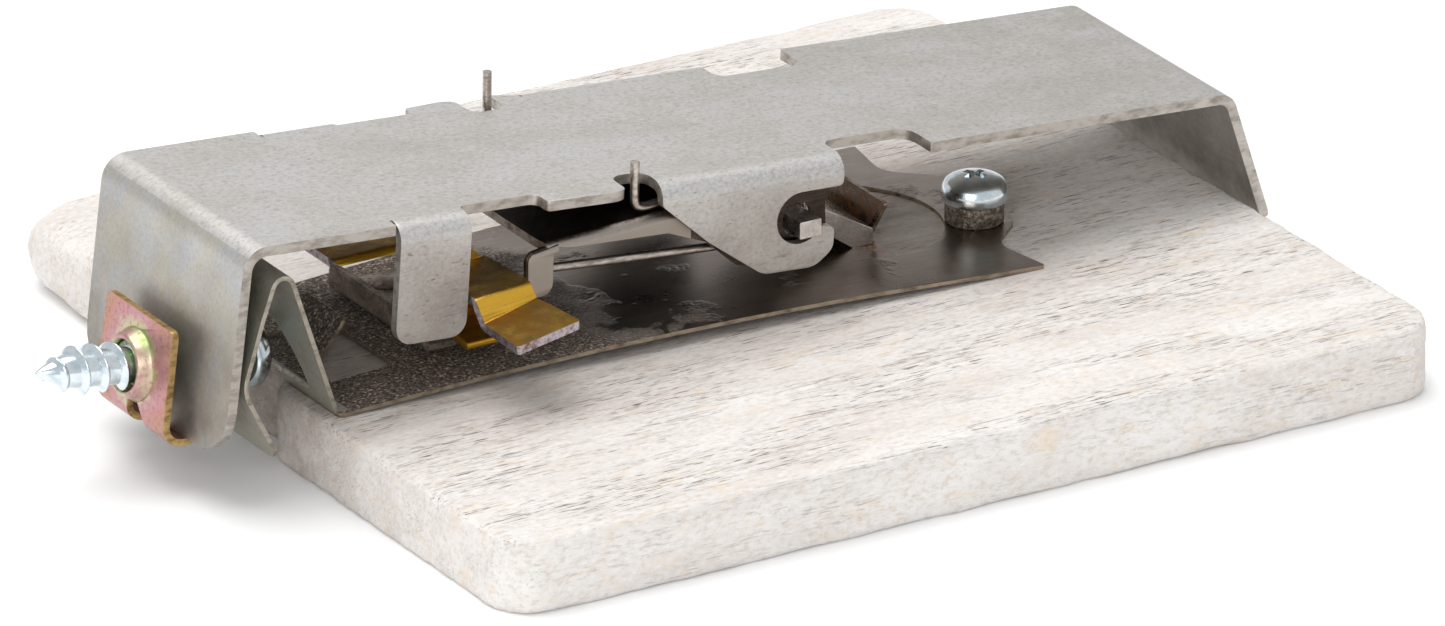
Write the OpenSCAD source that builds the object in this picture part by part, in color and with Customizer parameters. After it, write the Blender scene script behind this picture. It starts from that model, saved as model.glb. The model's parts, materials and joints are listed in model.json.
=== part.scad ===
// Snap mouse trap: a sheet steel jaw channel hung on a bowed spring plate,
// screwed to a wooden board, shown sprung (closed).
// X runs along the board towards the mouth, Y across it, Z up.
// The origin is the centre of the board's underside.

/* [Board] */
// Length of the wooden board
board_l = 104; // [100:1:110]
// Width of the wooden board
board_w = 96; // [90:1:110]
// Thickness of the wooden board
board_t = 7.6; // [7:0.1:8]
// Corner radius of three corners
corner_r = 4.5; // [2:0.5:6]
// Radius of the worn far left corner
worn_r = 5.5; // [4:0.5:14]

/* [Jaw channel] */
// Width of the channel over its folded ears
jaw_w = 28; // [27.6:0.1:28.4]
// Sheet thickness of the channel
jaw_t = 1; // [0.9:0.05:1.1]
// How far the closed channel dips towards the mouth, in degrees
jaw_tilt = 3.8; // [3.5:0.1:4]
// Height of the channel's top face above its pivot
jaw_top = 6.33; // [6.2:0.05:6.5]
// Distance from the pivot to the back wall's top corner
back_reach = 61.6; // [61:0.1:62]
// Distance from the pivot to the mouth wall's top corner
mouth_reach = 48.8; // [48.7:0.1:49.4]

/* [Pivot] */
// Pivot position along the board
pivot_x = 0.8; // [0.7:0.1:0.9]
// Pivot height above the board's underside
pivot_z = 16.4; // [16.3:0.1:16.5]
// Width of the square trunnion bar
bar_w = 2.4; // [2.2:0.1:2.5]
// Height of the square trunnion bar
bar_h = 1.75; // [1.6:0.05:1.8]
// Length of the bar over both trunnions
bar_l = 30.4; // [30:0.1:31]

/* [Spring plate] */
// Thickness of the spring steel
plate_t = 0.4; // [0.3:0.05:0.5]
// Half width of the plate at its hairpin end
root_half = 14; // [13.5:0.1:14.5]
// Half width of the plate over its fish tail
tail_half = 17.4; // [17:0.1:18]
// Rise of the plate's bow in mid-span
bow = 1.2; // [0.8:0.1:1.4]
// Start of the plate at the hairpin fold
root_x = -50.4; // [-51:0.1:-50]
// Tips of the fish tail
tail_x = 26; // [25.5:0.1:26.5]
// Radius of the half-round window
window_r = 10; // [9:0.1:10.5]
// Line of the lug's fold, the window's straight side
lug_x = 14.4; // [14.2:0.1:14.6]

/* [Fasteners] */
// Thread diameter of the clamp screw
clamp_d = 4.8; // [4.6:0.1:5]
// Thread pitch of the clamp screw
clamp_pitch = 2.1; // [1.9:0.1:2.3]
// Head diameter of both screws
head_d = 6.6; // [6.2:0.1:7]
// Width of the clip-on nut
nut_w = 12.6; // [12:0.1:13]

/* [Trigger] */
// Width of the trigger strip
strip_w = 6.7; // [6.4:0.1:6.8]
// Thickness of the trigger strip
strip_t = 0.9; // [0.8:0.05:1]
// Diameter of the trigger's hinge pin
pin_d = 1.6; // [1.5:0.05:1.7]
// Wire diameter of the two small springs
wire_d = 0.9; // [0.8:0.05:1]

/* [Hidden] */
$fn = 48;

// Small gap left between touching pieces that move, or that are pressed together
gap = 0.05;

// The bow of the plate: a parabola from its root to where the fish tail lies flat
flat_x = tail_x - 3.2;
bow_mid = (root_x + flat_x) / 2;
bow_half = (flat_x - root_x) / 2;
function bow_z(x) = board_t + bow * (1 - pow((x - bow_mid) / bow_half, 2));

screw_x = 26.2;
screw_y = -4.4;
shank_d = 3.2;

// Apex of the hairpin, and where its down leg meets the channel's back wall
apex_x = -56.4;
apex_z = 23.6;
leg_x = -60.85;

// The channel's back wall: its lean, its depth, and the clamp screw's distance from its top
wall_lean = 3.2;
wall_h = 21.4;
clamp_drop = 16;

// Clamp screw: how far its head stands inside the wall and its point outside it
head_in = 10.2;
point_out = 13.3;

// Worn notch in the board's back edge, under the clamp screw's head
notch_r = 4.6;
notch_x = -board_l / 2 - 2.5;

// Trigger hinge, its strip and its treads
pin_y = -4.4;
pin_z = 12;
knuckle_r = pin_d / 2 + 0.8;
strip_x = -36;
upper_z = 19;
tread_z = 16.2;
step_z = 14.7;

// Bracket riveted on the plate under the trigger
foot_z = board_t + bow + plate_t + 0.02;
foot_t = 0.6;

// Latch lever's outer half width, and the wire ends' places along the board
lever_half = jaw_w / 2 - jaw_t - 0.4;
near_prong_x = -16.4;
far_prong_x = -19.4;

// Bolt-like rod between two points
module rod(a, b, d) {
    v = b - a;
    len = norm(v);
    translate(a)
        rotate([0, acos(v[2] / len), atan2(v[1], v[0])])
            cylinder(d = d, h = len, $fn = 24);
}

// Rods through a list of points, with a slightly fuller ball at each bend
module wire(pts, d) {
    for (i = [0 : len(pts) - 2])
        rod(pts[i], pts[i + 1], d);
    for (i = [1 : len(pts) - 2])
        translate(pts[i]) sphere(d = d * 1.08, $fn = 24);
}

// Points of an arc round (x, y), from angle a to angle b
function arc(x, y, r, a, b, steps = 8) =
    [for (i = [0 : steps]) [x + r * cos(a + (b - a) * i / steps),
                            y + r * sin(a + (b - a) * i / steps)]];

// Plate standing in the XZ plane, from y to y + t
module side_plate(pts, y, t) {
    translate([0, y + t, 0])
        rotate([90, 0, 0])
            linear_extrude(t) polygon(pts);
}

// Carries the channel's own frame, pivot at its origin, to the closed pose
module jaw_place() {
    translate([pivot_x, 0, pivot_z])
        rotate([0, jaw_tilt, 0])
            children();
}

// Carries a frame set on the back wall: X = 0 is its outer face, Z = 0 its top edge
module wall_place() {
    jaw_place()
        translate([-back_reach, 0, jaw_top])
            rotate([0, wall_lean, 0])
                children();
}

// ---- wooden board ----
module corner_cut(x, y, sx, sy, r) {
    translate([x, y, -1])
        difference() {
            translate([sx > 0 ? -r : -1, sy > 0 ? -r : -1, 0]) cube([r + 1, r + 1, board_t + 2]);
            translate([-sx * r, -sy * r, -1]) cylinder(r = r, h = board_t + 4, $fn = 96);
        }
}

module base_board() {
    color("antiquewhite")
        difference() {
            translate([-board_l / 2, -board_w / 2, 0]) cube([board_l, board_w, board_t]);
            corner_cut(-board_l / 2, -board_w / 2, -1, -1, corner_r);
            corner_cut(board_l / 2, -board_w / 2, 1, -1, corner_r);
            corner_cut(board_l / 2, board_w / 2, 1, 1, corner_r);
            corner_cut(-board_l / 2, board_w / 2, -1, 1, worn_r);
            translate([screw_x, screw_y, 1.4]) cylinder(d = shank_d + 2 * gap, h = board_t);
            translate([notch_x, 0, -1]) cylinder(r = notch_r, h = board_t + 2);
        }
}

// ---- bowed spring plate, fish tail, window and upright lug ----
module plate_outline() {
    difference() {
        polygon([[root_x, -root_half], [tail_x, -tail_half], [tail_x - 0.6, -10.2],
                 [29.5, -6.4], [29.5, 6.4], [tail_x - 0.6, 10.2], [tail_x, tail_half],
                 [root_x, root_half]]);
        intersection() {
            translate([lug_x, 0.8]) circle(r = window_r, $fn = 64);
            translate([lug_x, -20]) square([40, 40]);
        }
        translate([screw_x, screw_y]) circle(d = shank_d + 2 * gap);
        // slot that the front tongue was cut from
        translate([-47.6, -4]) square([7, 9]);
    }
}

module spring_plate() {
    steps = 24;
    xs = [for (i = [0 : steps]) root_x + (flat_x - root_x) * i / steps];
    under = concat([for (x = xs) [x, bow_z(x)]], [[29.5, board_t]]);
    over = [for (i = [len(under) - 1 : -1 : 0]) [under[i][0], under[i][1] + plate_t]];
    color("dimgray") {
        intersection() {
            side_plate(concat(under, over), -20, 40);
            translate([0, 0, board_t - 1]) linear_extrude(5) plate_outline();
        }
        // upright lug, wider at its top
        lug_foot = bow_z(lug_x) + 0.1;
        translate([lug_x - plate_t, 0, 0])
            rotate([90, 0, 90])
                linear_extrude(plate_t)
                    polygon([[-3.1, lug_foot], [3.9, lug_foot], [6.6, 12.8], [-5.9, 12.8]]);
        // tongue raised from the slot
        side_plate([[-47.8, bow_z(-47.8)], [-42.4, 14.6], [-42.8, 14.8], [-48.2, bow_z(-48) + 0.2]],
                   -3.4, 7.8);
    }
}

// ---- hairpin: the plate's fold that lifts the back of the channel ----
module hairpin_spring() {
    t = 0.45;
    half = root_half - 0.6;
    outer = [[root_x - 0.1, board_t + 0.2], [apex_x + 1.2, apex_z - 0.9], [apex_x, apex_z],
             [apex_x - 1.3, apex_z - 1.4], [leg_x, 12.8], [leg_x, 10.4], [leg_x + 3.6, 4.6]];
    inner = [for (i = [len(outer) - 1 : -1 : 0])
                 i == 0 || i == 1 ? [outer[i][0] - t, outer[i][1]]
                                  : [outer[i][0] + t, outer[i][1] - (i == 2 ? t : 0)]];
    color("slategray")
        difference() {
            side_plate([for (p = concat(outer, inner)) if (p != [apex_x + t, apex_z - t]) p],
                       -half, 2 * half);
            // arched window that leaves two side strips
            translate([root_x - 5, 0, 0]) rotate([90, 0, 90]) linear_extrude(5.4) {
                translate([-half + 3, 8.4]) square([2 * half - 6, 4.6]);
                translate([0, 13]) intersection() {
                    circle(r = half - 3, $fn = 64);
                    translate([-half, 0]) square([2 * half, 8]);
                }
            }
            // hole for the clamp screw in the down leg
            wall_place() translate([-1, 0, -clamp_drop]) rotate([0, 90, 0])
                cylinder(d = clamp_d + 0.4, h = 5);
        }
}

// ---- bar with square trunnions, its blade held by the lug ----
module trunnion_bar() {
    color("silver") {
        translate([pivot_x - bar_w / 2, -bar_l / 2, pivot_z - bar_h / 2])
            cube([bar_w, bar_l, bar_h]);
        side_plate([[pivot_x + bar_w / 2 - 0.4, pivot_z + bar_h / 2],
                    [pivot_x + bar_w / 2 - 0.4, pivot_z - bar_h / 2],
                    [lug_x - plate_t - 1.2, bow_z(lug_x - 1.6) + plate_t],
                    [lug_x - plate_t - 0.02, bow_z(lug_x - 1) + plate_t],
                    [lug_x - plate_t - 0.02, 10.2]], -5.6, 11.2);
    }
}

// ---- pan head screw and its spacer ----
module hold_down_screw() {
    head_z = board_t + plate_t + 2.3;
    color("lightsteelblue")
        difference() {
            union() {
                translate([screw_x, screw_y, head_z]) cylinder(d = head_d, h = 1.2);
                translate([screw_x, screw_y, head_z + 1.2])
                    intersection() {
                        cylinder(d = head_d, h = 1.3);
                        translate([0, 0, -3.4]) sphere(r = 4.75, $fn = 64);
                    }
                translate([screw_x, screw_y, 2.4]) cylinder(d = shank_d, h = head_z - 2.4);
                translate([screw_x, screw_y, 1.6])
                    cylinder(d1 = 0.4, d2 = shank_d, h = 0.8, $fn = 32);
            }
            for (a = [20, 110])
                translate([screw_x, screw_y, head_z + 1.7])
                    rotate([0, 0, a])
                        translate([-1.7, -0.45, 0]) cube([3.4, 0.9, 2]);
        }
}

module spacer_collar() {
    color("gray")
        translate([screw_x, screw_y, board_t + plate_t])
            difference() {
                cylinder(d = 5.8, h = 2.3);
                translate([0, 0, -1]) cylinder(d = shank_d + 2 * gap, h = 5);
            }
}

// ---- jaw channel, drawn in its own frame with the pivot at the origin ----
module jaw_top_outline() {
    half = jaw_w / 2;
    difference() {
        translate([-back_reach, -half]) square([back_reach + mouth_reach, jaw_w]);
        for (s = [-1, 1]) {
            // plain cut edge behind the back ear
            translate([-back_reach - 1, s > 0 ? half - 0.5 : -half - 1])
                square([back_reach - 43.9, 1.5]);
            // relief beside the back ear
            translate([-37.2, s > 0 ? half - 2.8 : -half - 1]) square([8.6, 3.8]);
            // slot for the wire end
            translate([(s > 0 ? far_prong_x : near_prong_x) - 3.6, s > 0 ? half - 4 : -half - 1])
                square([4.2, 5]);
            // relief beside the pivot ear
            translate([4.2, s > 0 ? half - 4.6 : -half - 1]) square([9.8, 5.6]);
            // plain cut edge towards the mouth
            translate([13.9, s > 0 ? half - 0.3 : -half - 1]) square([mouth_reach, 1.3]);
        }
    }
}

module back_ear(y) {
    side_plate([[-44.9, jaw_top - 0.2], [-44.9, -4.9], [-44.1, -5.7], [-38, -5.7],
                [-37.2, -4.9], [-37.2, jaw_top - 0.2]], y, jaw_t);
}

module pivot_ear(y) {
    difference() {
        side_plate([[-16.1, jaw_top - 0.2], [-15.9, 3.6], [-10, -0.4], [-4.4, -4.6],
                    [-3, -4.8], [0.9, -4.5], [2.6, -3.9], [3.4, -2.6], [3.4, -0.7],
                    [4.2, 2.9], [4.2, jaw_top - 0.2]], y, jaw_t);
        translate([-0.35, y - 1, 0.75]) rotate([-90, 0, 0]) cylinder(r = 2.6, h = 3, $fn = 64);
        // mouth of the hook
        side_plate([[-0.3, 2.9], [1.7, -0.6], [4.6, -0.9], [4.6, 2.9]], y - 1, 3);
    }
}

module jaw_channel() {
    half = jaw_w / 2;
    color("silver")
        jaw_place()
            difference() {
                union() {
                    translate([0, 0, jaw_top - jaw_t])
                        linear_extrude(jaw_t) jaw_top_outline();
                    for (y = [-half, half - jaw_t]) {
                        back_ear(y);
                        pivot_ear(y);
                    }
                    // back wall, rounded lower corners
                    translate([-back_reach, 0, jaw_top])
                        rotate([0, wall_lean, 0])
                            rotate([90, 0, 90])
                                linear_extrude(jaw_t)
                                    polygon(concat([[0.6 - half, 0]],
                                        arc(5.6 - half, 5 - wall_h, 5, 180, 270),
                                        arc(half - 5.6, 5 - wall_h, 5, 270, 360),
                                        [[half - 0.6, 0]]));
                    // mouth wall, splayed outwards
                    translate([mouth_reach, 0, jaw_top])
                        rotate([0, -22.5, 0])
                            translate([-jaw_t, -half + 0.3, -15.2])
                                cube([jaw_t, jaw_w - 0.6, 15.2]);
                }
                // hole for the clamp screw
                translate([-back_reach, 0, jaw_top]) rotate([0, wall_lean, 0])
                    translate([-1, 0, -clamp_drop]) rotate([0, 90, 0])
                        cylinder(d = clamp_d + 0.3, h = 4);
            }
}

// ---- clamp screw, head inside, point outside ----
module clamp_screw() {
    core_d = clamp_d - 1.2;
    inner = floor(head_in / clamp_pitch) - 1;
    outer = floor(point_out / clamp_pitch) - 2;
    color("lightsteelblue")
        wall_place()
            translate([0, 0, -clamp_drop]) rotate([0, -90, 0]) {
                translate([0, 0, -head_in + 0.5]) cylinder(d = core_d, h = head_in + point_out - 3.8);
                // pan head
                translate([0, 0, -head_in]) cylinder(d = head_d, h = 1.3);
                translate([0, 0, -head_in - 1.3])
                    intersection() {
                        cylinder(d = head_d, h = 1.4);
                        translate([0, 0, 4.75]) sphere(r = 4.75, $fn = 64);
                    }
                // thread
                for (i = [-inner : outer])
                    translate([0, 0, 1.2 + i * clamp_pitch]) {
                        cylinder(d1 = core_d, d2 = clamp_d, h = 0.5, $fn = 32);
                        translate([0, 0, 0.5])
                            cylinder(d1 = clamp_d, d2 = core_d, h = 0.5, $fn = 32);
                    }
                translate([0, 0, point_out - 3.3]) cylinder(d1 = core_d, d2 = 0.3, h = 3.3, $fn = 32);
            }
}

// ---- clip-on nut over the back wall's lower edge ----
module clip_on_nut() {
    t = 0.7;
    low = -wall_h - 0.1;
    plate_x = -1.8 - t;
    color("indianred")
        wall_place()
            difference() {
                union() {
                    // outer plate
                    translate([plate_x, -nut_w / 2, low]) cube([t, nut_w, 11]);
                    // fold under the wall
                    translate([plate_x, -4.4, low - t]) cube([4.4, 8.8, t + 0.05]);
                    // inner leg
                    translate([jaw_t + 0.2, -4.4, low - t]) cube([t, 8.8, 3.2]);
                    // threaded collar
                    translate([plate_x + 0.5, 0, -clamp_drop]) rotate([0, -90, 0])
                        cylinder(d = 7.4, h = 1.9);
                }
                translate([1, 0, -clamp_drop]) rotate([0, -90, 0])
                    cylinder(d = clamp_d + 0.2, h = 6);
            }
}

// ---- inner latch lever, hung on the same trunnions ----
module latch_lever() {
    t = 0.9;
    web_under = [[-27, 18.7], [-13.8, 20], [4, 19.4]];
    web_over = [[4, 20.3], [-14, 20.9], [-27.2, 19.6]];
    cheek = [[-14.6, 20.2], [-9.4, 16], [-6.2, 13.3], [-1.4, 11.6],
             [2.6, 12], [4, 13.4], [4, 20.3], [-14, 20.9]];
    hook_tab = [[-29, 19.2], [-29, 15.4], [-28.2, 14.3], [-27.2, 14.3], [-26.4, 15.4],
                [-26.4, 18.4], [-24, 18.9], [-24, 19.8], [-27.2, 19.6]];
    color("dimgray") {
        for (y = [-lever_half, lever_half - t]) {
            difference() {
                side_plate(cheek, y, t);
                translate([pivot_x, y - 1, pivot_z]) rotate([-90, 0, 0])
                    cylinder(r = 1.75, h = 3);
            }
            side_plate(hook_tab, y, t);
        }
        difference() {
            side_plate(concat(web_under, web_over), -lever_half + 0.3, 2 * lever_half - 0.6);
            translate([near_prong_x, -11.2, 17]) cylinder(d = 2.4, h = 5);
            translate([far_prong_x, 11.2, 17]) cylinder(d = 2.4, h = 5);
        }
    }
}

// ---- small wire springs: a coil on the bar, a leg to the lever, and an upturned end ----
module wire_spring(s, prong_x, prong_top) {
    coil_r = 2.1;
    mid_y = s * 10.2;
    color("silver") {
        translate([pivot_x, mid_y + 1.2, pivot_z])
            rotate([90, 0, 0])
                difference() {
                    cylinder(r = coil_r + wire_d / 2, h = 2.4);
                    translate([0, 0, -1]) cylinder(r = coil_r - wire_d / 2, h = 5);
                }
        wire([[pivot_x - 0.6, mid_y, pivot_z - coil_r], [-25.8, s * 11.1, 16.7],
              [-27.8, s * 11.1, 16.6]], wire_d);
        wire([[pivot_x - 0.6, mid_y - s * 0.6, pivot_z + coil_r - 0.1],
              [prong_x + 1.6, s * 9.8, 18.1], [prong_x, s * 11.2, 18.1],
              [prong_x - 0.3, s * 11.2, prong_top]], wire_d);
    }
}

module near_wire_spring() {
    wire_spring(-1, near_prong_x, 25.6);
}

module far_wire_spring() {
    wire_spring(1, far_prong_x, 27.6);
}

// Plate standing in the YZ plane, from x to x + t
module cross_plate(pts, x, t) {
    translate([x, 0, 0])
        rotate([90, 0, 90])
            linear_extrude(t) polygon(pts);
}

// ---- stepped trigger strip on its hinge ----
module trigger_treadle() {
    t = strip_t;
    color("goldenrod")
        difference() {
            union() {
                // knuckle round the pin
                translate([strip_x, pin_y, pin_z]) rotate([0, 90, 0])
                    cylinder(r = knuckle_r, h = strip_w);
                // web from the knuckle up to the tread, and the lip below it
                cross_plate([[-6.5, tread_z + 0.1], [-6.5, pin_z - 0.6], [-12.6, pin_z - 1.2],
                             [-12.6, pin_z - 0.4], [-7.4, pin_z + 0.3], [-7.4, tread_z + 0.1]],
                            strip_x, strip_w - 2);
                cross_plate([[-7.4, 13], [-7.4, 11.5], [-4.4, 11.5], [-4.4, 13]],
                            strip_x, strip_w - 2);
                // two treads and the riser between them
                cross_plate([[-5.6, tread_z + t], [-14.4, tread_z + t], [-15.8, step_z + t],
                             [-22.6, step_z + t], [-22.6, step_z], [-16.3, step_z],
                             [-14.9, tread_z], [-5.6, tread_z]], strip_x, strip_w);
                // riser cut to a slope, under the upper plate
                translate([0, -5.6, 0]) rotate([90, 0, 0]) linear_extrude(t)
                    polygon([[strip_x, tread_z], [strip_x + strip_w, tread_z],
                             [strip_x + strip_w, tread_z + t], [strip_x + 2.4, upper_z + t],
                             [strip_x, upper_z + t]]);
                // upper plate with its wing under the channel
                translate([-46.5, -6.5, upper_z]) cube([12.9, 9.5, t]);
            }
            translate([strip_x - 1, pin_y, pin_z]) rotate([0, 90, 0])
                cylinder(r = pin_d / 2 + gap, h = strip_w + 2);
        }
}

module trigger_pin() {
    color("darkgray")
        translate([-38, pin_y, pin_z]) rotate([0, 90, 0]) cylinder(d = pin_d, h = 10);
}

// ---- bracket: foot on the plate, back wall, and an ear each end of the pin ----
module trigger_bracket() {
    ear = [[pin_y - 1.8, foot_z], [pin_y + 1.8, foot_z], [pin_y + 1.8, pin_z + 0.8],
           [pin_y + 0.9, pin_z + 1.7], [pin_y - 0.9, pin_z + 1.7], [pin_y - 1.8, pin_z + 0.8]];
    color("gray")
        difference() {
            union() {
                translate([-37.6, -7.6, foot_z]) cube([8.8, 17.8, foot_t]);
                translate([-37.6, -7.6, foot_z]) cube([0.9, 17.8, 2.8]);
                cross_plate(ear, -37.6, 0.9);
                cross_plate(ear, -29, 0.8);
            }
            translate([-39, pin_y, pin_z]) rotate([0, 90, 0]) cylinder(d = pin_d + 2 * gap, h = 12);
            for (y = [1.6, 7.4])
                translate([-33, y, foot_z - 1]) cylinder(d = 2.02, h = 4);
        }
}

module bracket_rivets() {
    color("gray")
        for (y = [1.6, 7.4])
            translate([-33, y, foot_z]) {
                cylinder(d = 2, h = foot_t);
                translate([0, 0, foot_t]) cylinder(d = 3.2, h = 0.6);
            }
}

base_board();
spring_plate();
hairpin_spring();
trunnion_bar();
hold_down_screw();
spacer_collar();
jaw_channel();
clamp_screw();
clip_on_nut();
latch_lever();
near_wire_spring();
far_wire_spring();
trigger_treadle();
trigger_pin();
trigger_bracket();
bracket_rivets();
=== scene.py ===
import json
import math

import bmesh
import bpy
from mathutils import Matrix, Vector, noise


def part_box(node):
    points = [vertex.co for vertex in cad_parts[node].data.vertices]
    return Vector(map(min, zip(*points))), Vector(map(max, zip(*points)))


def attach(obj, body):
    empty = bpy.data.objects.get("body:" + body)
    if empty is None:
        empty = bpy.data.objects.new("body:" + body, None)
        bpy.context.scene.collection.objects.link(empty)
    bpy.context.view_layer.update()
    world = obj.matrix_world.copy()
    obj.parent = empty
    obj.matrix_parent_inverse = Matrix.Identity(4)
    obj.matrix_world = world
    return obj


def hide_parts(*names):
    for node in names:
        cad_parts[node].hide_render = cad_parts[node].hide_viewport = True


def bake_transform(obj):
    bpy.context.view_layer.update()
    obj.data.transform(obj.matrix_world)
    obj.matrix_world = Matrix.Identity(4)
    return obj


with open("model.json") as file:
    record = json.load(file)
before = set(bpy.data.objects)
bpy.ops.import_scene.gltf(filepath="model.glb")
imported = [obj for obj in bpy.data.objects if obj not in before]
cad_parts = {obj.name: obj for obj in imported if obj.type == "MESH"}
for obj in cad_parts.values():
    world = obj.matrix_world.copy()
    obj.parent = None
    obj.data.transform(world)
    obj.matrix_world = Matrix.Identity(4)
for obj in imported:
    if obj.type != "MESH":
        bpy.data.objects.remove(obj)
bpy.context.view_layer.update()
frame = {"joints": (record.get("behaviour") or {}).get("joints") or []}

# ---- Studio ----
# A pale sweep under soft, nearly shadowless light, and a long lens from the near left,
# a little above the object. Lengths in this file are in millimetres until a piece is made.
MM = 0.001
scene = bpy.context.scene
scene.view_settings.view_transform = "Standard"

EYE = Vector((-706.4, -1148.1, 578.1)) * MM
AZIMUTH, ELEVATION, ROLL = (math.radians(a) for a in (-31.615, 23.13, 0.322))


def make_camera():
    back = Vector((math.sin(AZIMUTH) * math.cos(ELEVATION),
                   -math.cos(AZIMUTH) * math.cos(ELEVATION), math.sin(ELEVATION)))
    level = Vector((math.cos(AZIMUTH), math.sin(AZIMUTH), 0))
    upright = back.cross(level)
    right = math.cos(ROLL) * level + math.sin(ROLL) * upright
    up = back.cross(right)
    data = bpy.data.cameras.new("camera")
    data.sensor_width = 36
    data.lens = 378.5
    data.clip_end = 10
    camera = bpy.data.objects.new("camera", data)
    turn = Matrix((right, up, back)).transposed().to_4x4()
    camera.matrix_world = Matrix.Translation(EYE) @ turn
    scene.collection.objects.link(camera)
    scene.camera = camera


def softbox(name, place, target, size, power, tint=(1, 1, 1)):
    data = bpy.data.lights.new(name, "AREA")
    data.shape = "RECTANGLE"
    data.size, data.size_y = size
    data.energy = power
    data.color = tint
    lamp = bpy.data.objects.new(name, data)
    aim = Vector(target) - Vector(place)
    lamp.matrix_world = Matrix.Translation(Vector(place)) @ aim.to_track_quat("-Z", "Y").to_matrix().to_4x4()
    scene.collection.objects.link(lamp)


def rgb(red, green, blue):
    """Linear colour from the 0 to 255 values of a colour chart."""
    def linear(value):
        value /= 255
        return value / 12.92 if value <= 0.04045 else ((value + 0.055) / 1.055) ** 2.4
    return (linear(red), linear(green), linear(blue), 1)


class Finish:
    """A material under construction, with short ways to add the nodes that this file uses."""

    def __init__(self, name):
        self.material = bpy.data.materials.new(name)
        self.material.use_nodes = True
        self.tree = self.material.node_tree
        self.shader = self.tree.nodes["Principled BSDF"]
        self.place = self.add("TexCoord").outputs["Object"]

    def add(self, kind, inputs=(), **settings):
        node = self.tree.nodes.new("ShaderNode" + kind)
        for key, value in settings.items():
            setattr(node, key, value)
        for key, value in dict(inputs).items():
            self.plug(node.inputs[key], value)
        return node

    def plug(self, socket, value):
        if isinstance(value, bpy.types.NodeSocket):
            self.tree.links.new(value, socket)
        else:
            socket.default_value = value

    def stretched(self, x, y, z):
        """Object coordinates with one cell every x, y and z millimetres."""
        size = (1 / (x * MM), 1 / (y * MM), 1 / (z * MM))
        return self.add("Mapping", {"Vector": self.place, "Scale": size}).outputs[0]

    def noise(self, x, y=None, z=None, detail=4.0, rough=0.6, warp=0.0):
        where = self.stretched(x, y or x, z or y or x)
        inputs = {"Vector": where, "Scale": 1.0, "Detail": detail, "Roughness": rough, "Distortion": warp}
        return self.add("TexNoise", inputs).outputs["Fac"]

    def cells(self, size, feature="F1"):
        where = self.stretched(size, size, size)
        return self.add("TexVoronoi", {"Vector": where, "Scale": 1.0}, feature=feature).outputs["Distance"]

    def ramp(self, value, *stops):
        """Value through a colour ramp, with stops of (place, colour or grey)."""
        node = self.add("ValToRGB", {"Fac": value})
        marks = node.color_ramp.elements
        while len(marks) < len(stops):
            marks.new(0.5)
        for mark, (place, colour) in zip(marks, stops):
            mark.position = place
            mark.color = colour if hasattr(colour, "__len__") else (colour, colour, colour, 1)
        return node.outputs["Color"]

    def mix(self, amount, first, second, blend="MIX"):
        inputs = {"Fac": amount, "Color1": first, "Color2": second}
        return self.add("MixRGB", inputs, blend_type=blend).outputs["Color"]

    def sum(self, kind, first, second=0.5, clamp=False):
        return self.add("Math", {0: first, 1: second}, operation=kind, use_clamp=clamp).outputs[0]

    def axis(self, letter):
        return self.add("SeparateXYZ", {"Vector": self.place}).outputs[letter]

    def attribute(self, name):
        return self.add("Attribute", attribute_name=name).outputs["Fac"]

    def bump(self, height, depth, strength=1.0, under=None):
        inputs = {"Height": height, "Distance": depth * MM, "Strength": strength}
        if under:
            inputs["Normal"] = under
        return self.add("Bump", inputs).outputs["Normal"]

    def done(self, **inputs):
        for key, value in inputs.items():
            self.plug(self.shader.inputs[key.replace("_", " ")], value)
        return self.material


def make_studio():
    make_camera()
    world = bpy.data.worlds.new("room")
    world.use_nodes = True
    world.node_tree.nodes["Background"].inputs["Color"].default_value = (0.96, 0.98, 1.0, 1)
    world.node_tree.nodes["Background"].inputs["Strength"].default_value = 0.72
    scene.world = world
    softbox("overhead", (-0.15, 0.25, 1.1), (0, 0, 0), (1.0, 0.8), 9.0, (1.0, 0.985, 0.96))
    softbox("front_left", (-0.9, -0.9, 0.55), (0, 0, 0.01), (0.7, 0.7), 6.0)
    bm = bmesh.new()
    bmesh.ops.create_grid(bm, x_segments=2, y_segments=2, size=3)
    mesh = bpy.data.meshes.new("floor")
    bm.to_mesh(mesh)
    floor = bpy.data.objects.new("floor", mesh)
    scene.collection.objects.link(floor)
    sweep = Finish("pale_sweep")
    grain = sweep.noise(40, detail=2)
    mesh.materials.append(sweep.done(
        Base_Color=sweep.ramp(grain, (0.3, rgb(244, 244, 244)), (0.7, rgb(248, 248, 248))), Roughness=0.8))


make_studio()


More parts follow.
